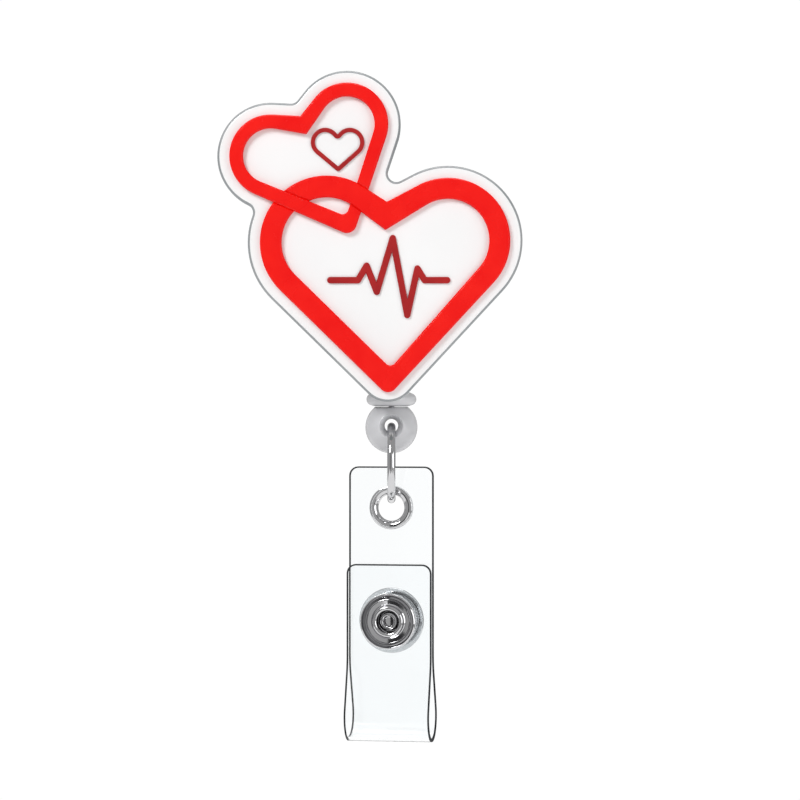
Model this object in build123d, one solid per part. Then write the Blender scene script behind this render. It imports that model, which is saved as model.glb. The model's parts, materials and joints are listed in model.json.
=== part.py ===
from build123d import *

import os
from math import asin, atan2, cos, degrees, hypot, pi, sin, sqrt, tan

# Retractable badge reel: a heart badge on a round spring reel, a swivelling jaw clip behind it,
# and a cord that ends in a bead, a jump ring and a clear snap strap for the badge.
# Millimetres. Everything is drawn about the reel's axis: +X right, -Y to the front, +Z up,
# and is moved at export so that the clip's grip point is the origin.

# ---- general clearances
running_fit = 0.06        # radial, between a shaft and its bore
gap = 0.3                 # between pieces that pass each other

# ---- reel housing
reel_radius = 12.5
reel_depth = 8.4
shell_wall = 1.0
shell_edge = 1.0          # rounding of the outer rim
lip_height = 0.6          # tongue that joins the two shells
nose_radius = 2.7
nose_length = 3.3         # below the rim
arbor_radius = 2.4
arbor_bore = 1.6

# ---- guide bush, the collar that the cord comes out of
cord_radius = 0.4
cord_clearance = 0.1
spigot_radius = 1.7
spigot_length = 3.3
collar_radius = 3.5
collar_height = 2.2

# ---- spool, spring and wound cord
flange_gap = 0.5          # round the spool
flange_thickness = 0.7
drum_radius = 7.6
drum_wall = 0.7
hub_wall = 0.65
hub_length = 1.7
winding_depth = 2.0
spring_strip = 0.2
spring_width = 3.5
spring_turns = 5
lead_bend = 0.9           # of the cord's bend, above the bush
lead_rise = 1.8           # of the end of the lead-in cord, above the nose's lower end

# ---- badge plate
pad_thickness = 0.4
pad_margin = 2.0          # inside the housing's edge
plate_thickness = 2.5
plate_margin = 1.7
plate_edge = 0.3
plate_tip_radius = 2.2
corner_radius = 1.2       # of the outline's inward corners
large_relief = 0.7
small_relief = 0.8
line_relief = 0.25
relief_edge = 0.2
large_outer = dict(left=(-8.9, 4.6), left_radius=9.2, right=(7.8, 4.9), right_radius=8.6,
                   notch=(-0.6, 10.2), tip=(-0.4, -16.6), tip_radius=1.3)
large_inner = dict(left=(-8.9, 4.6), left_radius=6.2, right=(7.8, 4.9), right_radius=5.7,
                   notch=(-0.8, 6.3), tip=(-0.1, -12.7), tip_radius=0.8)
small_outer = dict(left=(-16.6, 16.5), left_radius=5.7, right=(-6.1, 20.9), right_radius=5.7,
                   notch=(-12.5, 22.0), tip=(-5.3, 5.4), tip_radius=1.4)
small_inner = dict(left=(-16.6, 16.5), left_radius=3.8, right=(-6.1, 20.9), right_radius=3.8,
                   notch=(-11.7, 19.5), tip=(-6.2, 8.2), tip_radius=0.8)
mini_outer = dict(left=(-9.1, 18.4), left_radius=2.0, right=(-5.7, 18.4), right_radius=2.0,
                  notch=(-7.4, 19.5), tip=(-7.3, 14.3), tip_radius=0.4)
mini_line = 0.6
crossing_split = -9.7     # left of it the small band lies over the large one, right of it under
pulse_line = 0.9
pulse_points = [(-8.4, -0.6), (-4.6, -0.6), (-3.4, 1.4), (-2.0, -2.2), (0.2, 5.2),
                (2.2, -5.4), (3.6, 1.0), (4.6, -0.6), (7.7, -0.6)]

# ---- bead, knot and ring
bead_radius = 3.65
bead_flat = 2.75          # of the bead's flat top, above its centre
bead_gap = 0.15           # under the collar
bead_wall = 0.7
knot_radius = 0.9
knot_height = 0.7
bead_hole_rise = 0.2      # of the ring's hole, above the bead's centre
bead_hole_play = 0.375    # between the wire and the hole
bead_hole_straight = 1.2  # half the length of the straight part
bead_hole_flare = 1.45
ring_outer = 5.65
ring_wire = 0.575
ring_sit = 0.125          # of the wire's middle, below the hole's
ring_gap = 0.25
ring_gap_height = -1.0    # of the butt joint, from the ring's centre

# ---- clear strap
strap_width = 12.0
strap_sheet = 0.5
strap_yaw = -10.0         # the strap hangs a little turned on the ring
strap_corner = 1.3
strap_above_eyelet = 5.75
bend_drop = 21.85         # where the two layers part, below the eyelet
flap_top_drop = 7.85
fold_drop = 32.65
fold_front = 5.3          # of the sheet's middle, from the eyelet plane
fold_rear = 4.1
layer_radius = 8.0
snap_drop = 15.8

# ---- eyelet
eyelet_hole = 1.85
eyelet_flange = 3.05
eyelet_throat = 0.8       # half its depth, and the rounding of its throat
ring_rest = 0.1           # between the wire and the throat

# ---- snap fastener
snap_back_radius = 4.6
snap_base_radius = 3.5
snap_socket_radius = 3.7
snap_ring_radius = 4.0
snap_tube_radius = 2.2
snap_bore = 1.55
stud_radius = 1.4
stud_tip_radius = 1.25
stud_hollow = 0.7
snap_plate = 0.5
socket_depth = 0.8
layer_gap = 0.1           # between the base ring and the socket

# ---- clip
clip_width = 9.0
clip_sheet = 0.8
clip_standoff = 0.5       # washer between the housing and the clip
clip_bottom = -12.4
clip_base_top = 8.0
clip_lever_top = 12.0
pivot_z = 1.0
pivot_back = 3.0          # pivot's distance behind the front of the base
ear_height = 6.0
pin_radius = 0.8
jaw_depth = 5.6           # from the base's front to the lever's back
grip_gap = 0.3
rivet_radius = 1.0
rivet_head = 1.45
spring_wire = 0.25
spring_coil = 1.35
coil_turns = 4

# ---- heights and depths worked out from the sizes above
half_depth = reel_depth / 2
nose_bottom = -(reel_radius + nose_length)
lead_end = nose_bottom + lead_rise
pad_radius = reel_radius - pad_margin
flange_radius = reel_radius - shell_wall - flange_gap
collar_bottom = nose_bottom - collar_height
bead_top = collar_bottom - bead_gap
bead_centre = bead_top - bead_flat
bead_hole = ring_wire + bead_hole_play
bead_hole_mouth = bead_hole + bead_hole_flare
bead_hole_z = bead_centre + bead_hole_rise
ring_radius = ring_outer - ring_wire
ring_centre = bead_hole_z - ring_sit - ring_radius
throat_top = ring_centre - ring_radius + ring_wire + ring_rest
eyelet_z = throat_top - eyelet_hole
strap_top_z = eyelet_z + strap_above_eyelet
strap_bend_z = eyelet_z - bend_drop
flap_top_z = eyelet_z - flap_top_drop
fold_bottom_z = eyelet_z - fold_drop
snap_z = eyelet_z - snap_drop
fold_middle = (fold_rear - fold_front) / 2
half_sheet = strap_sheet / 2
base_front = -half_sheet - snap_plate
socket_back = base_front - layer_gap
flap_back = socket_back - socket_depth
flap_y = flap_back - half_sheet
flap_front = flap_back - strap_sheet
plate_back = half_depth + pad_thickness
plate_front = plate_back + plate_thickness
clip_front = half_depth + clip_standoff
pivot_y = clip_front + pivot_back
lever_back = clip_front + jaw_depth
grip_y = (clip_front + clip_sheet + lever_back - clip_sheet) / 2
grip_z = clip_bottom + clip_sheet / 2
winding_radius = drum_radius + winding_depth


# ---- helpers
def disc(radius, back, front, x=0.0, z=0.0):
    """A disc about a line along Y, from y = front to y = back."""
    low, high = min(back, front), max(back, front)
    shape = Cylinder(radius, high - low, align=(Align.CENTER, Align.CENTER, Align.MIN))
    return Pos(x, low, z) * Rot(-90, 0, 0) * shape


def tube(outer, inner, back, front, x=0.0, z=0.0):
    return disc(outer, back, front, x, z) - disc(inner, back + 1, front - 1, x, z)


def block(x_size, y_low, y_high, z_low, z_high, x=0.0):
    middle = (x, (y_low + y_high) / 2, (z_low + z_high) / 2)
    return Pos(*middle) * Box(x_size, abs(y_high - y_low), abs(z_high - z_low))


def turned_y(points, z=0.0):
    """Revolve (radius, y) points about the Y axis at height z."""
    face = make_face(Polyline(*points, close=True))
    return Pos(0, 0, z) * revolve(face, Axis.Y)


def turned_z(points):
    """Revolve (radius, z) points about the Z axis."""
    face = make_face(Plane.XZ * Polyline(*points, close=True))
    return revolve(face, Axis.Z)


def touch_point(start, centre, radius, side):
    """Where a line from start touches a circle; side is +1 or -1."""
    dx, dz = centre[0] - start[0], centre[1] - start[1]
    reach = hypot(dx, dz)
    turn = atan2(dz, dx) + side * asin(radius / reach)
    length = sqrt(reach ** 2 - radius ** 2)
    return start[0] + length * cos(turn), start[1] + length * sin(turn)


def lobe(first, last, centre, radius):
    """The arc from first to last, anticlockwise round a heart's lobe."""
    start = atan2(first[1] - centre[1], first[0] - centre[0])
    end = atan2(last[1] - centre[1], last[0] - centre[0])
    if end < start:
        end += 2 * pi
    middle = (start + end) / 2
    top = centre[0] + radius * cos(middle), centre[1] + radius * sin(middle)
    return ThreePointArc(first, top, last)


def heart(left, left_radius, right, right_radius, notch, tip, tip_radius):
    """A heart face: two lobes joined by their tangents to a notch and a rounded tip."""
    low_right = touch_point(tip, right, right_radius, -1)
    top_right = touch_point(notch, right, right_radius, 1)
    top_left = touch_point(notch, left, left_radius, -1)
    low_left = touch_point(tip, left, left_radius, 1)
    outline = Curve() + [Line(tip, low_right), lobe(low_right, top_right, right, right_radius),
                         Line(top_right, notch), Line(notch, top_left),
                         lobe(top_left, low_left, left, left_radius), Line(low_left, tip)]
    face = make_face(outline)
    return fillet(face.vertices().sort_by(Axis.Y)[0], tip_radius)


def raise_front(face, depth, height):
    """Extrude a face drawn in X and Z towards the front, from y = -depth."""
    return extrude(Plane.XZ.offset(depth) * face, height)


def front_edges(shape):
    return shape.faces().sort_by(Axis.Y)[0].edges()


def yawed(shape):
    return Rot(0, 0, strap_yaw) * shape


# ---- reel housing
def housing_half(side):
    """One shell of the housing: side is -1 at the front and +1 at the back."""
    body = disc(reel_radius, 0, side * half_depth)
    rim = body.faces().sort_by(Axis.Y)[0 if side < 0 else -1].edges()
    body = fillet(rim, shell_edge)
    nose = Pos(0, 0, nose_bottom) * Cylinder(nose_radius, nose_length + 2 * shell_wall,
                                             align=(Align.CENTER, Align.CENTER, Align.MIN))
    keep = block(4 * nose_radius, 0, side * 2 * nose_radius, nose_bottom - 1, 0)
    body += nose & keep
    body -= disc(reel_radius - shell_wall, -side, side * (half_depth - shell_wall))
    spigot = Pos(0, 0, nose_bottom) * Cylinder(spigot_radius, spigot_length + shell_wall,
                                               align=(Align.CENTER, Align.CENTER, Align.MIN))
    return body - spigot


def front_shell():
    body = housing_half(-1)
    return body - tube(reel_radius - shell_wall / 2, reel_radius - shell_wall - 0.1, 0, -lip_height)


def rear_shell():
    lip = tube(reel_radius - shell_wall / 2 - 0.05, reel_radius - shell_wall, 0, -lip_height)
    passage = block(2 * nose_radius, -nose_radius, 0, nose_bottom, -reel_radius / 2)
    arbor = tube(arbor_radius, arbor_bore, half_depth - shell_wall, -hub_front())
    body = housing_half(1) + (lip - passage) + arbor
    return body - disc(rivet_radius + running_fit, half_depth + 1, 0)


def hub_front():
    """How far the arbor reaches forward: flush with the spool's front face."""
    return half_depth - shell_wall - gap


def guide_bush():
    bore = cord_radius + cord_clearance
    top = nose_bottom + spigot_length
    shoulder = collar_radius * 0.72
    profile = [(bore, collar_bottom + 0.4), (bore + 0.4, collar_bottom),
               (collar_radius - 0.9, collar_bottom), (collar_radius - 0.25, collar_bottom + 0.45),
               (collar_radius, collar_bottom + 1.0), (collar_radius - 0.2, collar_bottom + 1.55),
               (shoulder, nose_bottom), (spigot_radius, nose_bottom), (spigot_radius, top),
               (bore + 0.8, top), (bore, top - 1.2)]
    return turned_z(profile)


# ---- spool and what is on it
def spool():
    face = hub_front()
    inner = face - flange_thickness
    bore = arbor_radius + running_fit
    groove = drum_radius - drum_wall
    hub = bore + hub_wall
    profile = [(bore, -face), (flange_radius, -face), (flange_radius, -inner),
               (drum_radius, -inner), (drum_radius, inner), (flange_radius, inner),
               (flange_radius, face), (groove, face), (groove, -inner), (hub, -inner),
               (hub, hub_length - face), (bore, hub_length - face)]
    return turned_y(profile)


def cord_winding():
    inner = hub_front() - flange_thickness
    body = tube(winding_radius, drum_radius, inner, -inner)
    return fillet(body.edges().filter_by(GeomType.CIRCLE).sort_by(SortBy.RADIUS)[-2:], cord_radius)


def mainspring():
    """A flat strip wound out from the arbor to the drum, as half-turn arcs."""
    start = arbor_radius + running_fit + spring_strip
    end = drum_radius - drum_wall - spring_strip
    half_turns = 2 * spring_turns
    step = (end - start) / half_turns
    arcs = []
    radius, x, side = start, start, 1
    for _ in range(half_turns):
        centre = x - side * (radius + step / 2)
        far = centre - side * (radius + step / 2)
        arcs.append(ThreePointArc((x, 0), (centre, side * (radius + step / 2)), (far, 0)))
        x, radius, side = far, radius + step, -side
    back = hub_front() - gap
    path = Plane.XZ.offset(-back) * (Curve() + arcs)
    section = Plane(origin=(start, back - spring_width / 2, 0), x_dir=(1, 0, 0), z_dir=(0, 0, 1))
    return sweep(section * Rectangle(spring_strip, spring_width), path=path.wire())


def lead_points():
    """The tight cord from the winding to the bush: touching point, bend and end."""
    bend = (0.0, nose_bottom + spigot_length + lead_bend)
    ring = winding_radius + cord_radius + gap / 2
    touch = touch_point(bend, (0.0, 0.0), ring, 1)
    return touch, bend


def cord_lead():
    (x, z), (_, bend_z) = lead_points()
    lower = bend_z - lead_end
    turn = atan2(abs(x), z - bend_z)
    radius = 0.9 * lower / 2 / tan(turn / 2) if turn else lower
    path = FilletPolyline((x, 0, z), (0, 0, bend_z), (0, 0, lead_end), radius=radius)
    section = Plane(origin=path @ 0, z_dir=path % 0)
    return sweep(section * Circle(cord_radius), path=path)


def cord_run():
    top_of_knot = bead_top - bead_wall - running_fit
    length = lead_end - top_of_knot
    return Pos(0, 0, top_of_knot) * Cylinder(cord_radius, length,
                                             align=(Align.CENTER, Align.CENTER, Align.MIN))


def cord_knot():
    top = bead_top - bead_wall - running_fit
    body = Pos(0, 0, top) * Cylinder(knot_radius, knot_height,
                                     align=(Align.CENTER, Align.CENTER, Align.MAX))
    return fillet(body.edges().filter_by(GeomType.CIRCLE), knot_height * 0.4)


# ---- badge plate
def adhesive_pad():
    return disc(pad_radius, -half_depth, -plate_back)


def plate_outline():
    """Both hearts grown by the margin; growing further and shrinking back rounds the corners."""
    grown = plate_margin + corner_radius
    large = heart(**{**large_outer, "tip_radius": plate_tip_radius})
    outline = offset(large, grown) + offset(heart(**small_outer), grown)
    return offset(outline, -corner_radius)


def heart_plate():
    body = raise_front(plate_outline(), plate_back, plate_thickness)
    return chamfer(front_edges(body), plate_edge)


def band(outer, inner):
    return heart(**outer) - heart(**inner)


def one_side(side):
    """A big sheet on one side of the line between the two crossings."""
    size = 4 * reel_radius
    return Pos(crossing_split + side * size / 2, 0) * Rectangle(size, 2 * size)


def large_heart():
    face = band(large_outer, large_inner)
    face -= band(small_outer, small_inner) & one_side(-1)
    body = raise_front(face, plate_front, large_relief)
    return chamfer(front_edges(body), relief_edge)


def small_heart():
    face = band(small_outer, small_inner)
    face -= band(large_outer, large_inner) & one_side(1)
    body = raise_front(face, plate_front, small_relief)
    return chamfer(front_edges(body), relief_edge)


def mini_heart():
    outline = heart(**mini_outer)
    return raise_front(outline - offset(outline, -mini_line), plate_front, line_relief)


def pulse_motif():
    """A heartbeat line: a slot with round ends along each stroke."""
    face = None
    for (x, z), (far_x, far_z) in zip(pulse_points, pulse_points[1:]):
        slope = degrees(atan2(far_z - z, far_x - x))
        slot = SlotCenterToCenter(hypot(far_x - x, far_z - z), pulse_line)
        stroke = Pos((x + far_x) / 2, (z + far_z) / 2) * Rot(0, 0, slope) * slot
        face = stroke if face is None else face + stroke
    return raise_front(face, plate_front, line_relief)


# ---- bead and ring
def bead():
    body = Pos(0, 0, bead_centre) * Sphere(bead_radius)
    body &= block(4 * bead_radius, -bead_radius, bead_radius, bead_centre - bead_radius, bead_top)
    bore = Cylinder(cord_radius + cord_clearance, 4 * bead_wall)
    pocket_top = bead_top - bead_wall
    pocket = Pos(0, 0, pocket_top) * Cylinder(knot_radius + 2 * running_fit, pocket_top - bead_hole_z,
                                              align=(Align.CENTER, Align.CENTER, Align.MAX))
    mouth = bead_radius + 0.1
    hole = turned_y([(0, -mouth), (bead_hole_mouth, -mouth), (bead_hole, -bead_hole_straight),
                     (bead_hole, bead_hole_straight), (bead_hole_mouth, mouth), (0, mouth)],
                    bead_hole_z)
    return body - (Pos(0, 0, bead_top) * bore) - pocket - hole


def jump_ring():
    body = Pos(0, 0, ring_centre) * Rot(0, 90, 0) * Torus(ring_radius, ring_wire)
    height = ring_centre + ring_gap_height
    slit = block(4 * ring_wire, ring_radius - 2 * ring_wire, ring_outer + 1,
                 height - ring_gap / 2, height + ring_gap / 2)
    return body - slit


# ---- strap
def strap_points():
    rear, front = fold_rear, -fold_front
    low = fold_bottom_z + half_sheet
    return [(0, 0, strap_top_z), (0, 0, strap_bend_z), (0, rear, low), (0, front, low),
            (0, flap_y, strap_bend_z), (0, flap_y, flap_top_z)]


def fold_radius():
    """The largest radius that both corners of the fold can share along its bottom."""
    fall = strap_bend_z - fold_bottom_z - half_sheet
    turns = [pi / 2 + atan2(fold_rear, fall), pi / 2 + atan2(fold_front + flap_y, fall)]
    return 0.98 * (fold_rear + fold_front) / sum(tan(turn / 2) for turn in turns)


def strap_sheet_body():
    radii = [layer_radius, fold_radius(), fold_radius(), layer_radius]
    path = FilletPolyline(*strap_points(), radius=radii)
    section = Plane(origin=path @ 0, x_dir=(1, 0, 0), z_dir=path % 0)
    return sweep(section * Rectangle(strap_width, strap_sheet), path=path)


def round_corners(body, z):
    ends = body.edges().filter_by(Axis.Y).filter_by_position(Axis.Z, z - 0.01, z + 0.01)
    return fillet(ends, strap_corner)


def strap_half(side):
    """The strap's back layer (side +1) or the flap (side -1), split at the fold's lowest point."""
    edge = fold_middle + side * gap / 2
    back_fold = block(2 * strap_width, edge, edge + side * 20, fold_bottom_z - 1, strap_bend_z)
    middle = flap_back / 2
    layer = block(2 * strap_width, middle, middle + side * 20, strap_bend_z, 0)
    return strap_sheet_body() & (back_fold + layer)


def strap_back():
    body = round_corners(strap_half(1), strap_top_z)
    body -= disc(eyelet_hole + eyelet_throat / 2, half_sheet + 1, -half_sheet - 1, z=eyelet_z)
    return yawed(body - disc(stud_radius, half_sheet + 1, -half_sheet - 1, z=snap_z))


def strap_flap():
    body = round_corners(strap_half(-1), flap_top_z)
    return yawed(body - disc(snap_tube_radius, flap_back + 0.5, flap_front - 0.5, z=snap_z))


def throat_profile():
    """Half of a rounded throat: a half circle of the throat's rounding, then the flange."""
    middle = eyelet_hole + eyelet_throat
    arc = ThreePointArc((middle, -eyelet_throat), (eyelet_hole, 0), (middle, eyelet_throat))
    rest = Polyline((middle, eyelet_throat), (eyelet_flange, eyelet_throat - 0.25),
                    (eyelet_flange, 0.25 - eyelet_throat), (middle, -eyelet_throat))
    return make_face(Curve() + [arc, rest])


def eyelet():
    return revolve(throat_profile(), Axis.Y)


def eyelet_barrel():
    slot = tube(eyelet_flange + 1, eyelet_hole + eyelet_throat / 2, 2 * eyelet_throat, -half_sheet)
    return yawed(Pos(0, 0, eyelet_z) * (eyelet() - slot))


def eyelet_washer():
    ring = tube(eyelet_flange, eyelet_hole + eyelet_throat / 2, eyelet_throat, half_sheet)
    return yawed(Pos(0, 0, eyelet_z) * (eyelet() & ring))


# ---- snap fastener
def snap_cap():
    back = half_sheet + snap_plate
    body = disc(snap_back_radius, back, half_sheet)
    body = fillet(body.faces().sort_by(Axis.Y)[-1].edges(), snap_plate * 0.7)
    return yawed(Pos(0, 0, snap_z) * (body + disc(stud_radius, half_sheet, -half_sheet)))


def snap_stud():
    tip = flap_front - 0.3
    profile = [(0, -half_sheet), (snap_base_radius, -half_sheet), (snap_base_radius, base_front + 0.15),
               (snap_base_radius - 0.15, base_front), (stud_radius, base_front),
               (stud_tip_radius, tip + 0.2), (stud_tip_radius - 0.2, tip), (stud_hollow, tip),
               (stud_hollow, base_front), (0, base_front)]
    return yawed(turned_y(profile, snap_z))


def snap_socket():
    return yawed(tube(snap_socket_radius, snap_bore, socket_back, flap_back, z=snap_z))


def snap_ring():
    """The socket's front: a tube through the flap, a dished web and a rolled rim."""
    rim = Pos(0, flap_front - 0.5, snap_z) * Rot(90, 0, 0) * Torus(snap_ring_radius - 0.5, 0.5)
    web = tube(snap_ring_radius - 0.5, snap_bore, flap_front, flap_front - 0.3, z=snap_z)
    barrel = tube(snap_tube_radius, snap_bore, flap_back, flap_front - 1.1, z=snap_z)
    barrel = fillet(barrel.faces().sort_by(Axis.Y)[0].edges().sort_by(SortBy.LENGTH)[-1], 0.3)
    return yawed(rim + web + barrel)


# ---- clip
def clip_washer():
    return tube(clip_width / 3, rivet_radius + running_fit, clip_front - running_fit, half_depth)


def jaw_teeth(root_y, tip_y):
    """A row of three teeth across a jaw's lip, pointing along Y."""
    pitch = clip_width / 3
    teeth = None
    for index in (-1, 0, 1):
        tooth = block(pitch * 0.6, root_y, tip_y, clip_bottom, clip_bottom + clip_sheet,
                      x=index * pitch)
        teeth = tooth if teeth is None else teeth + tooth
    return teeth


def clip_base():
    front, back = clip_front, clip_front + clip_sheet
    plate = block(clip_width, front, back, clip_bottom, clip_base_top)
    plate = fillet(plate.edges().filter_by(Axis.Y), 1.2)
    lip = block(clip_width, front, grip_y - grip_gap - 0.3, clip_bottom, clip_bottom + clip_sheet)
    teeth = jaw_teeth(grip_y - grip_gap - 0.4, grip_y - grip_gap / 2)
    ears = None
    for side in (-1, 1):
        ear = block(clip_sheet, front, pivot_y + 1.6, pivot_z - ear_height / 2,
                    pivot_z + ear_height / 2, x=side * (clip_width - clip_sheet) / 2)
        ears = ear if ears is None else ears + ear
    body = plate + lip + teeth + ears
    body -= pin_bar(pin_radius)
    return body - disc(rivet_radius, back + 1, front - 1)


def pin_bar(radius, length=3 * clip_width):
    return Pos(0, pivot_y, pivot_z) * Rot(0, 90, 0) * Cylinder(radius, length)


def clip_pin():
    shaft = pin_bar(pin_radius, clip_width)
    for side in (-1, 1):
        head = Pos(side * (clip_width / 2 + 0.2), 0, 0) * pin_bar(pin_radius * 1.4, 0.4)
        shaft += head
    return shaft


def clip_lever():
    """The rear jaw: a channel with ears on the pin, a toothed lip and a raised thumb tab."""
    inside = clip_width - 2 * clip_sheet - 2 * running_fit
    back, front = lever_back, lever_back - clip_sheet
    plate = block(inside, front, back, clip_bottom, pivot_z + ear_height / 2)
    rise = clip_lever_top - pivot_z - ear_height / 2
    tab = Pos(0, 0, pivot_z + ear_height / 2) * Rot(-6, 0, 0) * block(inside, front, back, -0.3, rise)
    lip = block(inside, grip_y + grip_gap + 0.3, back, clip_bottom, clip_bottom + clip_sheet)
    teeth = jaw_teeth(grip_y + grip_gap + 0.4, grip_y + grip_gap / 2)
    body = plate + tab + lip + teeth
    for side in (-1, 1):
        ear = block(clip_sheet, pivot_y - 1.4, back, pivot_z - ear_height / 3, pivot_z + ear_height / 3,
                    x=side * (inside - clip_sheet) / 2)
        body += ear
    body &= block(inside, 0, 3 * lever_back, clip_bottom, clip_lever_top)
    return body - pin_bar(pin_radius + running_fit)


def clip_spring():
    """Coils round the pin, with one leg up the base and one up the thumb tab."""
    pitch = 2 * spring_wire + 0.1
    length = (coil_turns + 0.5) * pitch
    coil = Helix(pitch, length, spring_coil)
    section = Plane(origin=coil @ 0, z_dir=coil % 0)
    coils = sweep(section * Circle(spring_wire), path=coil, is_frenet=True)
    body = Pos(-length / 2, 0, 0) * Rot(-90, 0, 0) * Rot(0, 90, 0) * coils
    for side, leg_length in ((-1, 5.0), (1, 3.0)):
        leg = Cylinder(spring_wire, leg_length, align=(Align.CENTER, Align.CENTER, Align.MIN))
        body += Pos(side * length / 2, side * spring_coil, 0) * Rot(-side * 1.5, 0, 0) * leg
    return Pos(0, pivot_y, pivot_z) * body


def clip_rivet():
    back = clip_front + clip_sheet
    inner = half_depth - shell_wall - 0.05
    profile = [(0, inner - 1.0), (rivet_head, inner - 1.0), (rivet_head, inner),
               (rivet_radius, inner), (rivet_radius, back), (rivet_head, back),
               (rivet_head - 0.4, back + 0.5), (0, back + 0.5)]
    return turned_y(profile)


# ---- export
MAKERS = [clip_base, clip_pin, clip_rivet, clip_spring, clip_lever, clip_washer, rear_shell,
          front_shell, guide_bush, cord_lead, adhesive_pad, heart_plate, large_heart, small_heart,
          mini_heart, pulse_motif, spool, cord_winding, mainspring, cord_knot, cord_run, bead,
          jump_ring, strap_back, eyelet_barrel, eyelet_washer, snap_cap, snap_stud, strap_flap,
          snap_socket, snap_ring]


def main():
    os.makedirs("parts", exist_ok=True)
    for make in MAKERS:
        piece = Pos(0, -grip_y, -grip_z) * make()
        export_step(piece, f"parts/{make.__name__}.step")
        print(make.__name__)


main()
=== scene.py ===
import json
from math import atan2, cos, degrees, pi, radians, sin, tan

import bpy
from mathutils import Matrix, Vector


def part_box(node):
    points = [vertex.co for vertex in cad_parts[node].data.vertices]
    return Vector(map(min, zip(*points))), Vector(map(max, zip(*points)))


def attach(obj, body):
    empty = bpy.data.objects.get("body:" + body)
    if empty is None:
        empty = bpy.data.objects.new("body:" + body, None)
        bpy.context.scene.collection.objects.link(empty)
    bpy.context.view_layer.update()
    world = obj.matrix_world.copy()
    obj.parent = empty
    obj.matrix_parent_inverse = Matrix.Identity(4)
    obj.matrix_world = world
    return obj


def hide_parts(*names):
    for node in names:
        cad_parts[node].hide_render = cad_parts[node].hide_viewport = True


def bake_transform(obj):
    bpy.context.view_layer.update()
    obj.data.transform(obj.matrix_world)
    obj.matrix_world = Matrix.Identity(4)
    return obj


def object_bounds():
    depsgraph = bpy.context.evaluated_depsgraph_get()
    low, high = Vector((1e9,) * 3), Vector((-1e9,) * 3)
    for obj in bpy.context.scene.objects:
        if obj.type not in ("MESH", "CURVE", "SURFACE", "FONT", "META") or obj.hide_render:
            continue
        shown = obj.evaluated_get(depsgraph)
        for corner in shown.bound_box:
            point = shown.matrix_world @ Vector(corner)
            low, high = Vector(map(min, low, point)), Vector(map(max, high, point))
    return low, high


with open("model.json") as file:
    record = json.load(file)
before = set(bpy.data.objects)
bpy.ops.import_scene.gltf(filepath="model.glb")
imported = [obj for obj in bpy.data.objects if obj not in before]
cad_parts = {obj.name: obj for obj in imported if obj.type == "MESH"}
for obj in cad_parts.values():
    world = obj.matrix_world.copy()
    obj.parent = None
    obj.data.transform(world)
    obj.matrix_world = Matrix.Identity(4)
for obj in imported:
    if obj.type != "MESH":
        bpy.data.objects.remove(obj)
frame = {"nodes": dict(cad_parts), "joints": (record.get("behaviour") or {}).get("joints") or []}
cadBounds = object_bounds()
mm = 0.001

# places that the frame gives
jointOf = {joint["name"]: joint for joint in frame["joints"]}
reel = Vector(jointOf["clip_swivel"]["pos_m"])           # on the reel's axis
strapAxis = Vector(jointOf["strap_tilt"]["axis"])        # along the strap's width
strapYaw = atan2(strapAxis.y, strapAxis.x)


def middleOf(node):
    low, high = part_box(node)
    return (low + high) / 2


# modelling helpers
def startPiece():
    if bpy.context.object and bpy.context.object.mode != "OBJECT":
        bpy.ops.object.mode_set(mode="OBJECT")
    bpy.ops.object.select_all(action="DESELECT")


def named(name):
    piece = bpy.context.object
    piece.name = name
    piece.data.name = name
    return piece


def chooseOnly(piece):
    startPiece()
    piece.select_set(True)
    bpy.context.view_layer.objects.active = piece


def editAll(piece):
    chooseOnly(piece)
    bpy.ops.object.mode_set(mode="EDIT")
    bpy.ops.mesh.select_all(action="SELECT")


def leaveEdit():
    bpy.ops.object.mode_set(mode="OBJECT")


def applyModifiers(piece):
    chooseOnly(piece)
    for modifier in list(piece.modifiers):
        bpy.ops.object.modifier_apply(modifier=modifier.name)


def softenEdges(piece, width, segments=3, angle=35):
    bevel = piece.modifiers.new("softEdge", "BEVEL")
    bevel.width = width * mm
    bevel.segments = segments
    bevel.limit_method = "ANGLE"
    bevel.angle_limit = radians(angle)
    bevel.use_clamp_overlap = True
    bevel.harden_normals = False
    applyModifiers(piece)


def smoothShade(piece, angle=35):
    chooseOnly(piece)
    bpy.ops.object.shade_smooth_by_angle(angle=radians(angle))


def lathe(name, profile, axis="Y", steps=96, closed=True):
    # profile is (radius, height) in millimetres; the shape turns about the axis through the origin
    def place(point):
        radius, height = point
        return Vector((radius, height, 0) if axis == "Y" else (radius, 0, height)) * mm
    startPiece()
    bpy.ops.mesh.primitive_plane_add(size=mm, location=(0, 0, 0))
    piece = named(name)
    editAll(piece)
    bpy.ops.mesh.merge(type="CENTER")
    bpy.ops.transform.translate(value=place(profile[0]))
    points = profile + [profile[0]] if closed else profile
    for near, far in zip(points, points[1:]):
        bpy.ops.mesh.extrude_region_move(TRANSFORM_OT_translate={"value": place(far) - place(near)})
    bpy.ops.mesh.select_all(action="SELECT")
    turnAxis = (0, 1, 0) if axis == "Y" else (0, 0, 1)
    bpy.ops.mesh.spin(steps=steps, angle=2 * pi, center=(0, 0, 0), axis=turnAxis)
    bpy.ops.mesh.select_all(action="SELECT")
    bpy.ops.mesh.remove_doubles(threshold=0.002 * mm)
    bpy.ops.mesh.normals_make_consistent(inside=False)
    leaveEdit()
    return piece


def arcPoints(centre, radius, start, end, steps):
    # points of an arc in a (radius, height) profile, angles in degrees
    turns = [radians(start + (end - start) * step / steps) for step in range(steps + 1)]
    return [(centre[0] + radius * cos(turn), centre[1] + radius * sin(turn)) for turn in turns]


def settle(piece, centre, yaw=0.0):
    piece.data.transform(Matrix.Translation(centre) @ Matrix.Rotation(yaw, 4, "Z"))
    piece.data.update()
    return piece


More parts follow.
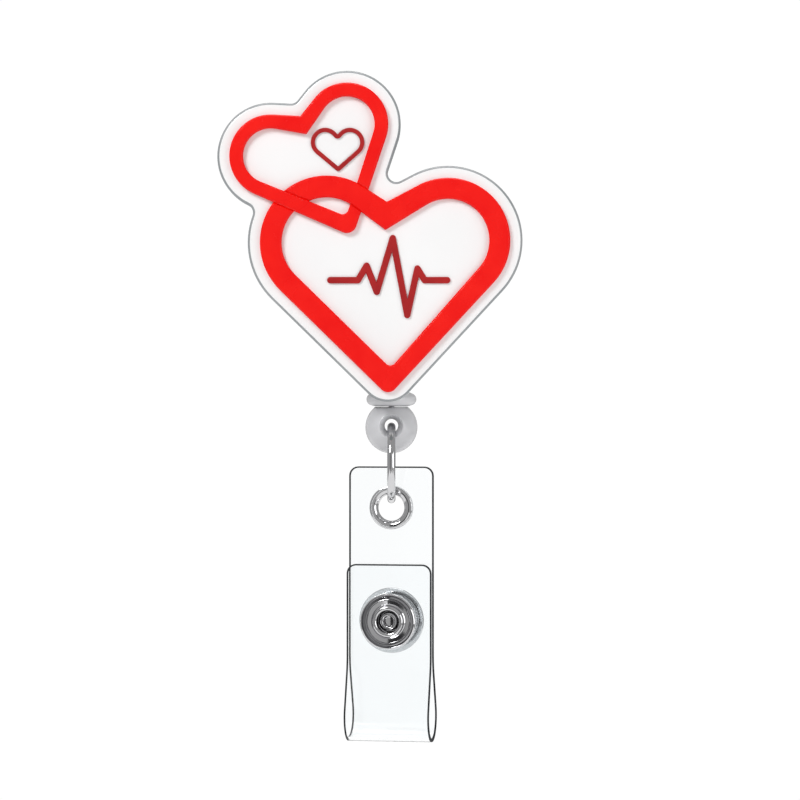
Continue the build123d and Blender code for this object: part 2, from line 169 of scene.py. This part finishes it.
def copyOfNode(node, name):
    # a merged copy of a CAD node, ready for softened edges
    source = frame["nodes"][node]
    piece = bpy.data.objects.new(name, source.data.copy())
    bpy.context.scene.collection.objects.link(piece)
    piece.data.materials.clear()
    editAll(piece)
    bpy.ops.mesh.remove_doubles(threshold=0.0005 * mm)
    bpy.ops.mesh.dissolve_limited(angle_limit=radians(0.3))
    leaveEdit()
    return piece


def finishPiece(piece, body, material, replaced=(), angle=35):
    if not piece.data.materials:
        piece.data.materials.append(material)
    smoothShade(piece, angle)
    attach(piece, body)
    if replaced:
        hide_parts(*replaced)
    return piece


# materials
def newMaterial(name, colour, roughness, metallic=0.0):
    material = bpy.data.materials.new(name)
    material.use_nodes = True
    shader = material.node_tree.nodes["Principled BSDF"]
    shader.inputs["Base Color"].default_value = (*colour, 1)
    shader.inputs["Roughness"].default_value = roughness
    shader.inputs["Metallic"].default_value = metallic
    return material


def noiseOf(material, scale, detail=3.0, stretch=(1, 1, 1)):
    nodes, links = material.node_tree.nodes, material.node_tree.links
    place = nodes.new("ShaderNodeTexCoord")
    mapping = nodes.new("ShaderNodeMapping")
    mapping.inputs["Scale"].default_value = stretch
    noise = nodes.new("ShaderNodeTexNoise")
    noise.inputs["Scale"].default_value = scale
    noise.inputs["Detail"].default_value = detail
    links.new(place.outputs["Object"], mapping.inputs["Vector"])
    links.new(mapping.outputs["Vector"], noise.inputs["Vector"])
    return noise


def grain(material, scale, height, strength=0.3, stretch=(1, 1, 1)):
    nodes, links = material.node_tree.nodes, material.node_tree.links
    noise = noiseOf(material, scale, 4.0, stretch)
    bump = nodes.new("ShaderNodeBump")
    bump.inputs["Strength"].default_value = strength
    bump.inputs["Distance"].default_value = height * mm
    links.new(noise.outputs["Fac"], bump.inputs["Height"])
    links.new(bump.outputs["Normal"], nodes["Principled BSDF"].inputs["Normal"])


def drift(material, first, second, scale, stretch=(1, 1, 1)):
    # colour that wanders a little between two tones
    nodes, links = material.node_tree.nodes, material.node_tree.links
    noise = noiseOf(material, scale, 2.0, stretch)
    ramp = nodes.new("ShaderNodeValToRGB")
    ramp.color_ramp.elements[0].position = 0.3
    ramp.color_ramp.elements[0].color = (*first, 1)
    ramp.color_ramp.elements[1].position = 0.7
    ramp.color_ramp.elements[1].color = (*second, 1)
    links.new(noise.outputs["Fac"], ramp.inputs["Fac"])
    links.new(ramp.outputs["Color"], nodes["Principled BSDF"].inputs["Base Color"])


def wear(material, smooth, rough, scale, stretch=(1, 1, 1)):
    # roughness that varies over the surface
    nodes, links = material.node_tree.nodes, material.node_tree.links
    noise = noiseOf(material, scale, 3.0, stretch)
    spread = nodes.new("ShaderNodeMapRange")
    spread.inputs["From Min"].default_value = 0.3
    spread.inputs["From Max"].default_value = 0.7
    spread.inputs["To Min"].default_value = smooth
    spread.inputs["To Max"].default_value = rough
    links.new(noise.outputs["Fac"], spread.inputs["Value"])
    links.new(spread.outputs["Result"], nodes["Principled BSDF"].inputs["Roughness"])


def shaderOf(material):
    return material.node_tree.nodes["Principled BSDF"].inputs


def makeMaterials():
    made = {}
    plate = newMaterial("whiteAcrylic", (0.92, 0.92, 0.92), 0.18)
    drift(plate, (0.90, 0.90, 0.90), (0.93, 0.93, 0.93), 90)
    grain(plate, 2600, 0.006, 0.12)
    shaderOf(plate)["Coat Weight"].default_value = 0.4
    shaderOf(plate)["Coat Roughness"].default_value = 0.06
    made["plate"] = plate

    # grey material for the plate's sides: painted shade standing in for the dark outline along the
    # plate's edge
    edge = newMaterial("plateSideShade", (0.30, 0.32, 0.33), 0.25)
    drift(edge, (0.26, 0.28, 0.29), (0.36, 0.37, 0.38), 160)
    grain(edge, 1800, 0.01, 0.2, (1, 4, 1))
    made["plateSideShade"] = edge

    red = newMaterial("redEnamel", (0.90, 0.004, 0.003), 0.26)
    shaderOf(red)["Specular IOR Level"].default_value = 0.2
    drift(red, (0.84, 0.004, 0.003), (0.90, 0.010, 0.006), 260)
    grain(red, 900, 0.03, 0.18)
    wear(red, 0.2, 0.3, 500)
    shaderOf(red)["Coat Weight"].default_value = 0.06
    shaderOf(red)["Coat Roughness"].default_value = 0.1
    made["red"] = red

    crimson = newMaterial("crimsonLine", (0.36, 0.004, 0.006), 0.3)
    drift(crimson, (0.33, 0.003, 0.005), (0.42, 0.008, 0.008), 300)
    grain(crimson, 1500, 0.02, 0.15)
    made["crimson"] = crimson

    milky = newMaterial("milkyPlastic", (0.74, 0.74, 0.76), 0.2)
    drift(milky, (0.70, 0.70, 0.72), (0.79, 0.79, 0.81), 240)
    grain(milky, 1400, 0.02, 0.15)
    shaderOf(milky)["Subsurface Weight"].default_value = 0.35
    shaderOf(milky)["Subsurface Radius"].default_value = (1.0, 1.0, 1.0)
    shaderOf(milky)["Subsurface Scale"].default_value = 1.2 * mm
    shaderOf(milky)["Transmission Weight"].default_value = 0.25
    shaderOf(milky)["IOR"].default_value = 1.46
    made["milky"] = milky

    chrome = newMaterial("chromePlate", (0.62, 0.62, 0.63), 0.07, 1.0)
    wear(chrome, 0.05, 0.12, 700)
    grain(chrome, 1100, 0.006, 0.1)
    made["chrome"] = chrome

    nickel = newMaterial("nickelPlate", (0.66, 0.65, 0.63), 0.2, 1.0)
    wear(nickel, 0.14, 0.3, 450, (1, 1, 5))
    grain(nickel, 900, 0.01, 0.15, (1, 1, 6))
    made["nickel"] = nickel

    steel = newMaterial("springSteel", (0.42, 0.42, 0.43), 0.3, 1.0)
    wear(steel, 0.25, 0.4, 900)
    made["steel"] = steel

    vinyl = newMaterial("clearVinyl", (0.97, 0.985, 0.99), 0.05)
    wear(vinyl, 0.03, 0.09, 300)
    grain(vinyl, 160, 0.03, 0.12)
    shaderOf(vinyl)["Transmission Weight"].default_value = 1.0
    shaderOf(vinyl)["IOR"].default_value = 1.4
    made["vinyl"] = vinyl

    # near-black material for the strap's cut edges and a thin line inside them: painted shade for
    # the dark outline of the clear sheet
    rim = newMaterial("strapOutlineShade", (0.02, 0.022, 0.025), 0.6)
    shaderOf(rim)["Specular IOR Level"].default_value = 0.1
    drift(rim, (0.012, 0.013, 0.015), (0.05, 0.052, 0.056), 350)
    made["vinylEdge"] = rim

    shell = newMaterial("whiteShell", (0.86, 0.86, 0.85), 0.35)
    drift(shell, (0.84, 0.84, 0.83), (0.88, 0.88, 0.87), 120)
    grain(shell, 3200, 0.012, 0.25)
    made["shell"] = shell

    nylon = newMaterial("spoolNylon", (0.80, 0.80, 0.78), 0.45)
    grain(nylon, 1500, 0.01, 0.2)
    made["nylon"] = nylon

    cord = newMaterial("braidedCord", (0.82, 0.82, 0.82), 0.7)
    drift(cord, (0.70, 0.70, 0.70), (0.88, 0.88, 0.88), 3000, (1, 1, 0.5))
    grain(cord, 5200, 0.06, 0.6, (1, 1, 0.45))
    shaderOf(cord)["Sheen Weight"].default_value = 0.3
    made["cord"] = cord

    foam = newMaterial("adhesiveFoam", (0.74, 0.73, 0.70), 0.85)
    grain(foam, 2500, 0.05, 0.5)
    made["foam"] = foam

    print("materials made:", len(made))
    return made


materials = makeMaterials()


# camera, stage and light
stageSizes = {"distance": 450, "frameWidth": 112, "aimX": 1.2, "aimZ": -17.1, "sensor": 36,
              "span": 4000, "underStrap": 60, "roomLight": 0.42, "roomWhite": 1.02, "cardGlow": 0.4,
              "cardHeight": 520}


def makeCamera():
    sizes = stageSizes
    data = bpy.data.cameras.new("viewCamera")
    data.sensor_width = sizes["sensor"]
    data.lens = sizes["sensor"] * sizes["distance"] / sizes["frameWidth"]
    data.clip_start = 0.01
    data.clip_end = 20
    camera = bpy.data.objects.new("viewCamera", data)
    bpy.context.scene.collection.objects.link(camera)
    camera.location = reel + Vector((sizes["aimX"], -sizes["distance"], sizes["aimZ"])) * mm
    camera.rotation_euler = (pi / 2, 0, 0)
    bpy.context.scene.camera = camera


def areaLight(name, place, aim, size, power):
    data = bpy.data.lights.new(name, "AREA")
    data.energy = power
    data.size = size * mm
    light = bpy.data.objects.new(name, data)
    bpy.context.scene.collection.objects.link(light)
    light.location = reel + Vector(place) * mm
    direction = Vector(aim) - Vector(place)
    light.rotation_euler = direction.to_track_quat("-Z", "Y").to_euler()


def makeStage():
    sizes = stageSizes
    paper = newMaterial("studioPaper", (0.12, 0.12, 0.12), 0.9)
    grain(paper, 300, 0.02, 0.1)
    shaderOf(paper)["Emission Color"].default_value = (1, 1, 1, 1)
    shaderOf(paper)["Emission Strength"].default_value = 1.0
    low = cadBounds[0]
    # the cord pulls out above the floor
    drop = jointOf["cord_pull"]["range_m"][1] + sizes["underStrap"] * mm
    startPiece()
    bpy.ops.mesh.primitive_plane_add(size=sizes["span"] * mm, location=(0, 0, low[2] - drop))
    floor = named("studioFloor")
    floor.data.materials.append(paper)
    world = bpy.data.worlds.new("softRoom")
    world.use_nodes = True
    nodes, links = world.node_tree.nodes, world.node_tree.links
    nodes["Background"].inputs["Color"].default_value = (1, 1, 1, 1)
    rays = nodes.new("ShaderNodeLightPath")     # white where it is seen, dimmer where it lights
    seen = nodes.new("ShaderNodeMath")
    seen.operation = "MAXIMUM"
    level = nodes.new("ShaderNodeMapRange")
    level.inputs["To Min"].default_value = sizes["roomLight"]
    level.inputs["To Max"].default_value = sizes["roomWhite"]
    links.new(rays.outputs["Is Camera Ray"], seen.inputs[0])
    links.new(rays.outputs["Is Transmission Ray"], seen.inputs[1])
    links.new(seen.outputs["Value"], level.inputs["Value"])
    links.new(level.outputs["Result"], nodes["Background"].inputs["Strength"])
    bpy.context.scene.world = world
    bpy.context.scene.view_settings.view_transform = "Standard"
    areaLight("keyLight", (-260, -320, 300), (0, 0, -15), 160, 1.45)
    areaLight("fillLight", (320, -260, 20), (0, 0, -20), 260, 0.5)
    areaLight("topLight", (0, 60, 380), (0, 0, -10), 240, 0.5)
    dark = newMaterial("darkCard", (0.02, 0.02, 0.022), 0.9)
    grey = newMaterial("greyCard", (0.1, 0.1, 0.1), 0.9)
    shaderOf(grey)["Emission Color"].default_value = (1, 1, 1, 1)
    shaderOf(grey)["Emission Strength"].default_value = sizes["cardGlow"]
    grain(dark, 200, 0.02, 0.1)
    grain(grey, 200, 0.02, 0.1)
    places = {"cardBehind": (0, -540, 0, 620, grey), "cardLeft": (-210, -400, 0, 130, dark),
              "cardRight": (210, -400, 0, 100, dark)}
    for name, (x, y, z, width, card) in places.items():
        startPiece()
        bpy.ops.mesh.primitive_plane_add(size=mm, location=reel + Vector((x, y, z)) * mm,
                                         rotation=(pi / 2, 0, 0))
        piece = named(name)
        piece.scale = (width, sizes["cardHeight"], 1)
        piece.data.materials.append(card)
        piece.visible_camera = False
        piece.visible_transmission = False
    print("stage and lights set")


makeCamera()
makeStage()


# badge plate and its relief
def paintSideShade(piece, material, limit=0.95):
    # every face that isn't square to the front or back takes the grey edge material, painted shade
    # for the plate's dark outline
    piece.data.materials.append(material)
    for face in piece.data.polygons:
        if abs(face.normal.y) < limit:
            face.material_index = 1


plateFinish = {"soften": 0.15, "bandSoften": 0.09, "lineSoften": 0.08}


def makePlate():
    plate = copyOfNode("heart_plate", "badgePlate")
    softenEdges(plate, plateFinish["soften"], 2)
    plate.data.materials.append(materials["plate"])
    paintSideShade(plate, materials["plateSideShade"])
    finishPiece(plate, "housing", materials["plate"], ("heart_plate",))
    for node, name in (("large_heart", "largeHeartBand"), ("small_heart", "smallHeartBand")):
        band = copyOfNode(node, name)
        softenEdges(band, plateFinish["bandSoften"], 3, 25)
        finishPiece(band, "housing", materials["red"], (node,), 50)
    for node, name in (("mini_heart", "miniHeartLine"), ("pulse_motif", "pulseLine")):
        line = copyOfNode(node, name)
        softenEdges(line, plateFinish["lineSoften"], 3)
        finishPiece(line, "housing", materials["crimson"], (node,), 50)
    print("badge plate done")


makePlate()


# collar, bead and ring
collarSizes = {"bore": 0.5, "spigot": 1.7, "edge": 0.45}


def makeCollar():
    low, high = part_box("guide_bush")
    bore, spigot = collarSizes["bore"], collarSizes["spigot"]
    outer = (high.x - low.x) / 2 / mm
    top = (high.z - low.z) / mm
    disc = 2.2
    rim = arcPoints((outer - 0.85, 1.0), 0.85, -75, 75, 12)
    profile = [(bore, 0.4), (bore + 0.4, 0), (outer - 1.3, 0)] + rim
    profile += [(outer - 1.2, disc - 0.12), (outer - 1.5, disc), (spigot, disc), (spigot, top),
                (bore + 0.8, top), (bore, top - 1.2)]
    collar = lathe("guideCollar", profile, "Z")
    softenEdges(collar, 0.08, 2)
    settle(collar, Vector((0, middleOf("guide_bush").y, low.z)))
    finishPiece(collar, "housing", materials["milky"], ("guide_bush",), 45)


beadSizes = {"hole": 0.95, "straight": 1.1, "mouth": 2.25, "bore": 0.5, "soften": 0.12}


def makeBead():
    low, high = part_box("bead")
    radius = (high.x - low.x) / 2
    centre = Vector((0, middleOf("bead").y, low.z + radius))
    hinge = Vector(jointOf["ring_swing"]["pos_m"])
    startPiece()
    bpy.ops.mesh.primitive_uv_sphere_add(segments=128, ring_count=96, radius=radius,
                                         location=centre)
    bead = named("cordBead")
    bpy.ops.object.transform_apply(location=True, rotation=True, scale=True)
    editAll(bead)
    bpy.ops.mesh.bisect(plane_co=(0, 0, high.z), plane_no=(0, 0, 1), use_fill=True,
                        clear_outer=True)
    leaveEdit()
    far = radius / mm + 0.6
    flare = beadSizes["mouth"] - beadSizes["hole"]
    side = [(beadSizes["hole"] + flare * (step / 10) ** 1.6,
             beadSizes["straight"] + (far - beadSizes["straight"]) * step / 10)
            for step in range(11)]
    profile = [(0, -far)] + [(r, -y) for r, y in reversed(side)] + side + [(0, far)]
    cutter = lathe("ringHoleCutter", profile, "Y", 96, False)
    settle(cutter, Vector((0, centre.y, hinge.z)))
    borer = lathe("cordHoleCutter", [(0, -0.8), (beadSizes["bore"], -0.8), (beadSizes["bore"], 0),
                                     (beadSizes["bore"] + 0.4, 0.3), (0, 0.3)], "Z", 48, False)
    settle(borer, Vector((0, centre.y, high.z)))
    for tool in (cutter, borer):
        cut = bead.modifiers.new("hole", "BOOLEAN")
        cut.operation = "DIFFERENCE"
        cut.solver = "EXACT"
        cut.object = tool
    applyModifiers(bead)
    for tool in (cutter, borer):
        bpy.data.objects.remove(tool)
    softenEdges(bead, beadSizes["soften"], 3, 40)
    finishPiece(bead, "bead", materials["milky"], ("bead",), 40)


ringSizes = {"jointDrop": 1.0, "jointGap": 0.25, "sides": 32, "steps": 180, "endSoften": 0.08}


def makeRing():
    low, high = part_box("jump_ring")
    wire = (high.x - low.x) / 2
    outer = (high.z - low.z) / 2
    centre = middleOf("jump_ring")
    turn = outer - wire
    halfGap = (ringSizes["jointGap"] / 2 * mm) / turn
    startAngle = -ringSizes["jointDrop"] * mm / turn + halfGap    # from +Y, towards +Z
    startPiece()
    bpy.ops.mesh.primitive_circle_add(vertices=ringSizes["sides"], radius=wire, fill_type="NGON",
                                      location=(0, turn, 0))
    ring = named("jumpRing")
    bpy.ops.object.transform_apply(location=True, rotation=True, scale=True)
    ring.data.transform(Matrix.Rotation(startAngle, 4, "X"))
    editAll(ring)
    bpy.ops.mesh.spin(steps=ringSizes["steps"], angle=2 * pi - 2 * halfGap, center=(0, 0, 0),
                      axis=(1, 0, 0))
    bpy.ops.mesh.select_all(action="SELECT")
    bpy.ops.mesh.remove_doubles(threshold=0.001 * mm)
    bpy.ops.mesh.normals_make_consistent(inside=False)
    leaveEdit()
    settle(ring, centre)
    softenEdges(ring, ringSizes["endSoften"], 2, 60)
    finishPiece(ring, "ring", materials["chrome"], ("jump_ring",), 50)


makeCollar()
makeBead()
makeRing()
print("collar, bead and ring done")


# clear strap
# line is the width of the painted shade line inside the strap's edges
strapSizes = {"width": 12.0, "sheet": 0.5, "corner": 1.3, "rim": 0.1, "line": 0.1,
              "bendStep": 3.0, "eyeletHole": 2.25, "capHole": 1.4, "tubeHole": 2.2,
              "foldFront": 0.55, "foldBack": 0.3, "bendZ": -54.0, "flapY": -1.9,
              "foldRearY": 4.1, "foldFrontY": -5.3, "layerRadius": 8.0}


def strapRoute():
    # the strap's side view in its own plane: top, bend, fold, bend, flap's top, in millimetres
    backLow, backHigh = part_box("strap_back")
    flapLow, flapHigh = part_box("strap_flap")
    top = (backHigh.z - reel.z) / mm
    bottom = (min(backLow.z, flapLow.z) - reel.z) / mm + strapSizes["sheet"] / 2
    flapTop = (flapHigh.z - reel.z) / mm
    bend, flapY = strapSizes["bendZ"], strapSizes["flapY"]
    rear, front = strapSizes["foldRearY"], strapSizes["foldFrontY"]
    return [(0, top), (0, bend), (rear, bottom), (front, bottom), (flapY, bend), (flapY, flapTop)]


def roundRoute(points, reach):
    # lines and tangent arcs through the points; gives (length so far, y, z, heading) along the way
    samples, travelled = [], 0.0
    place = Vector(points[0])
    for index in range(1, len(points)):
        corner = Vector(points[index])
        before = (corner - Vector(points[index - 1])).normalized()
        heading = atan2(before.y, before.x)
        if index == len(points) - 1:
            samples.append((travelled, place.x, place.y, heading))
            travelled += (corner - place).length
            samples.append((travelled, corner.x, corner.y, heading))
            break
        after = (Vector(points[index + 1]) - corner).normalized()
        turn = atan2(before.x * after.y - before.y * after.x, before.dot(after))
        radius = reach[index - 1]
        cut = radius * tan(abs(turn) / 2)
        samples.append((travelled, place.x, place.y, heading))
        start = corner - before * cut
        travelled += (start - place).length
        side = 1 if turn > 0 else -1
        centre = start + Vector((-before.y, before.x)) * radius * side
        steps = max(2, int(abs(degrees(turn)) / strapSizes["bendStep"]))
        for step in range(steps + 1):
            angle = heading + turn * step / steps
            spot = centre - Vector((-sin(angle), cos(angle))) * radius * side
            samples.append((travelled + radius * abs(turn) * step / steps, spot.x, spot.y, angle))
        travelled += radius * abs(turn)
        place = corner + after * cut
    return samples


def cutCylinder(name, radius, place):
    startPiece()
    bpy.ops.mesh.primitive_cylinder_add(vertices=96, radius=radius * mm, depth=4 * mm,
                                        location=place)
    return named(name)


def makeStrap():
    sizes = strapSizes
    route = strapRoute()
    fall = route[1][1] - route[2][1]
    turns = [pi / 2 + atan2(route[2][0], fall), pi / 2 + atan2(route[4][0] - route[3][0], fall)]
    fold = 0.98 * (route[2][0] - route[3][0]) / sum(tan(turn / 2) for turn in turns)
    layer = sizes["layerRadius"]
    samples = roundRoute(route, [layer, fold, fold, layer])
    length = samples[-1][0]
    startPiece()
    bpy.ops.mesh.primitive_cube_add(size=mm, location=(0, length / 2 * mm, 0))
    strap = named("clearStrap")
    strap.scale = (sizes["width"], length, sizes["sheet"])
    bpy.ops.object.transform_apply(location=True, rotation=True, scale=True)
    editAll(strap)
    bpy.ops.mesh.select_mode(type="EDGE")
    bpy.ops.mesh.select_all(action="DESELECT")
    leaveEdit()
    for edge in strap.data.edges:      # only the four short edges through the thickness
        ends = [strap.data.vertices[index].co for index in edge.vertices]
        edge.select = abs(ends[0].z - ends[1].z) > 0.1 * mm
    bpy.ops.object.mode_set(mode="EDIT")
    bpy.ops.mesh.bevel(offset=sizes["corner"] * mm, segments=6, affect="EDGES")
    bpy.ops.mesh.select_mode(type="VERT")
    leaveEdit()
    softenEdges(strap, sizes["rim"], 2, 60)
    editAll(strap)
    bpy.ops.mesh.select_mode(type="FACE")
    bpy.ops.mesh.select_all(action="DESELECT")
    leaveEdit()
    strap.data.materials.append(materials["vinyl"])
    strap.data.materials.append(materials["vinylEdge"])
    for face in strap.data.polygons:
        face.select = abs(face.normal.z) > 0.98
    bpy.ops.object.mode_set(mode="EDIT")
    # a narrow inset band along each face's edge, to carry the painted shade line
    bpy.ops.mesh.inset(thickness=sizes["line"] * mm, depth=0)
    leaveEdit()
    for face in strap.data.polygons:     # the cut edge and a narrow line inside it take the near-black material: painted shade for the dark outline along the strap's edges
        face.material_index = 0 if face.area > 20 * mm ** 2 else 1
    eyeletAt = (route[0][1] - (middleOf("eyelet_barrel").z - reel.z) / mm)
    snapAt = (route[0][1] - (middleOf("snap_cap").z - reel.z) / mm)
    flapSnapAt = length - (route[-1][1] - (middleOf("snap_ring").z - reel.z) / mm)
    tools = [cutCylinder("eyeletCutter", sizes["eyeletHole"], (0, eyeletAt * mm, 0)),
             cutCylinder("studCutter", sizes["capHole"], (0, snapAt * mm, 0)),
             cutCylinder("tubeCutter", sizes["tubeHole"], (0, flapSnapAt * mm, 0))]
    for tool in tools:
        cut = strap.modifiers.new("hole", "BOOLEAN")
        cut.operation = "DIFFERENCE"
        cut.solver = "EXACT"
        cut.object = tool
    applyModifiers(strap)
    for tool in tools:
        bpy.data.objects.remove(tool)
    editAll(strap)
    bpy.ops.mesh.select_mode(type="VERT")
    for sample in samples[1:-1]:
        bpy.ops.mesh.select_all(action="SELECT")
        bpy.ops.mesh.bisect(plane_co=(0, sample[0] * mm, 0), plane_no=(0, 1, 0))
    leaveEdit()
    for vertex in strap.data.vertices:     # roll the flat strip round its route
        along, off = vertex.co.y / mm, vertex.co.z / mm
        for near, far in zip(samples, samples[1:]):
            if along <= far[0] + 1e-6:
                break
        share = (along - near[0]) / max(far[0] - near[0], 1e-9)
        share = min(max(share, 0.0), 1.0)
        heading = near[3] + (far[3] - near[3]) * share
        y = near[1] + (far[1] - near[1]) * share
        z = near[2] + (far[2] - near[2]) * share
        vertex.co.y = (y + sin(heading) * off) * mm
        vertex.co.z = (z - cos(heading) * off) * mm
    editAll(strap)
    bpy.ops.mesh.normals_make_consistent(inside=False)
    leaveEdit()
    settle(strap, reel, strapYaw)
    smoothShade(strap, 30)
    fold = Vector(jointOf["flap_open"]["pos_m"])
    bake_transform(strap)
    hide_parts("strap_back", "strap_flap")
    print("strap done, length", round(length, 2))


makeStrap()


# eyelet and snap
def strapPlace(node, y=0.0):
    # a point on the back layer's middle plane at a node's height, moved y millimetres back
    back = Vector((-sin(strapYaw), cos(strapYaw), 0))
    return Vector((0, reel.y, middleOf(node).z)) + back * y * mm


def makeEyelet():
    low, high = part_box("eyelet_barrel")
    flange = (high.z - low.z) / 2 / mm
    hole, throat = 1.85, 0.8
    middle = hole + throat
    throatArc = arcPoints((middle, 0), throat, 270, 90, 24)
    front = [(flange - 0.25, -0.62)] + arcPoints((flange - 0.2, -0.42), 0.2, 300, 360, 4)
    profile = throatArc + [(middle, 0.66), (2.3, 0.5), (2.25, -0.25), (flange, -0.25)] + front[::-1]
    barrel = lathe("eyeletBarrel", profile, "Y", 128)
    settle(barrel, strapPlace("eyelet_barrel"), strapYaw)
    finishPiece(barrel, "strap", materials["chrome"], ("eyelet_barrel",), 40)
    washer = lathe("eyeletWasher", [(2.35, 0.25), (flange, 0.25), (flange, 0.4),
                                    (flange - 0.2, 0.55), (2.75, 0.62), (2.35, 0.5)], "Y", 128)
    softenEdges(washer, 0.04, 2)
    settle(washer, strapPlace("eyelet_barrel"), strapYaw)
    finishPiece(washer, "strap", materials["chrome"], ("eyelet_washer",), 40)


def makeSnap():
    at = strapPlace("snap_cap")
    flapFront = -2.15
    # rolled rim, dished web and the tube that holds the socket
    tubeTop = flapFront - 1.05
    profile = [(1.55, -1.66), (1.55, tubeTop + 0.12)]
    profile += arcPoints((1.87, tubeTop + 0.32), 0.32, 200, 340, 10)
    profile += [(2.2, tubeTop + 0.5), (2.25, flapFront - 0.35), (2.45, flapFront - 0.22)]
    profile += [(2.95, flapFront - 0.3)] + arcPoints((3.45, flapFront - 0.5), 0.5, 200, -60, 26)
    profile += [(3.2, flapFront), (2.19, flapFront), (2.19, -1.66)]
    ring = lathe("snapRing", profile, "Y", 160)
    settle(ring, at, strapYaw)
    finishPiece(ring, "flap", materials["chrome"], ("snap_ring",), 40)
    socket = lathe("snapSocket", [(1.57, -0.9), (3.45, -0.9), (3.65, -1.1), (3.65, -1.45),
                                  (3.5, -1.64), (1.57, -1.64)], "Y", 128)
    softenEdges(socket, 0.06, 2)
    settle(socket, at, strapYaw)
    finishPiece(socket, "flap", materials["chrome"], ("snap_socket",), 40)
    stud = lathe("snapStud", [(0, -0.26), (3.45, -0.26), (3.5, -0.4), (3.5, -0.6), (3.35, -0.74),
                              (1.6, -0.74), (1.4, -0.85), (1.27, -2.2), (1.1, -2.42), (0.85, -2.42),
                              (0.7, -2.2), (0.7, -0.8), (0, -0.8)], "Y", 128, False)
    softenEdges(stud, 0.04, 2)
    settle(stud, at, strapYaw)
    finishPiece(stud, "strap", materials["chrome"], ("snap_stud",), 40)
    cap = lathe("snapCap", [(0, -0.25), (1.38, -0.25), (1.38, 0.26), (4.5, 0.26)] +
                arcPoints((4.38, 0.44), 0.2, -40, 80, 8) +
                [(3.9, 0.7), (3.4, 0.74), (3.2, 0.6), (2.9, 0.56), (2.6, 0.68), (1.2, 0.74),
                 (0, 0.75)], "Y", 160, False)
    settle(cap, at, strapYaw)
    finishPiece(cap, "strap", materials["chrome"], ("snap_cap",), 40)


makeEyelet()
makeSnap()
print("eyelet and snap done")


# reel, clip and what is inside
def makeReel():
    plain = [("rear_shell", "rearShell", "housing", "shell", "white_shell", 0.12),
             ("front_shell", "frontShell", "housing", "shell", "white_shell", 0.12),
             ("adhesive_pad", "adhesivePad", "housing", "foam", "adhesive", 0.05),
             ("clip_washer", "clipWasher", "housing", "nylon", "nylon_washer", 0.06),
             ("clip_base", "clipBase", "clip", "nickel", "nickel_plate", 0.12),
             ("clip_lever", "clipLever", "clip_lever", "nickel", "nickel_plate", 0.12),
             ("clip_pin", "clipPin", "clip", "nickel", "nickel_plate", 0.06),
             ("clip_rivet", "clipRivet", "clip", "nickel", "nickel_plate", 0.06),
             ("spool", "cordSpool", "spool", "nylon", "spool_plastic", 0.06),
             ("cord_winding", "cordWinding", "spool", "cord", "cord", 0.0),
             ("mainspring", "mainSpring", "spool", "steel", "spring_steel", 0.0),
             ("cord_lead", "cordLead", "housing", "cord", "cord", 0.0),
             ("cord_knot", "cordKnot", "cord_end", "cord", "cord", 0.0)]
    for node, name, body, material, slot, soften in plain:
        piece = copyOfNode(node, name)
        if soften:
            softenEdges(piece, soften, 2)
        finishPiece(piece, body, materials[material], (node,))
    spring = copyOfNode("clip_spring", "clipSpring")
    spring.data.materials.append(materials["steel"])
    smoothShade(spring, 50)
    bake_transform(spring)
    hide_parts("clip_spring")
    print("reel and clip done")


def makeCordRun():
    low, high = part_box("cord_run")
    radius = (high.x - low.x) / 2
    startPiece()
    bpy.ops.mesh.primitive_cylinder_add(vertices=24, radius=radius * 0.98, depth=high.z - low.z,
                                        location=(low + high) / 2)
    run = named("cordRun")
    bpy.ops.object.transform_apply(location=True, rotation=True, scale=True)
    editAll(run)
    count = 60
    for step in range(1, count):
        bpy.ops.mesh.select_all(action="SELECT")
        height = low.z + (high.z - low.z) * step / count
        bpy.ops.mesh.bisect(plane_co=(0, 0, height), plane_no=(0, 0, 1))
    leaveEdit()
    run.data.materials.append(materials["cord"])
    smoothShade(run, 50)
    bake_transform(run)
    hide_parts("cord_run")


makeReel()
makeCordRun()
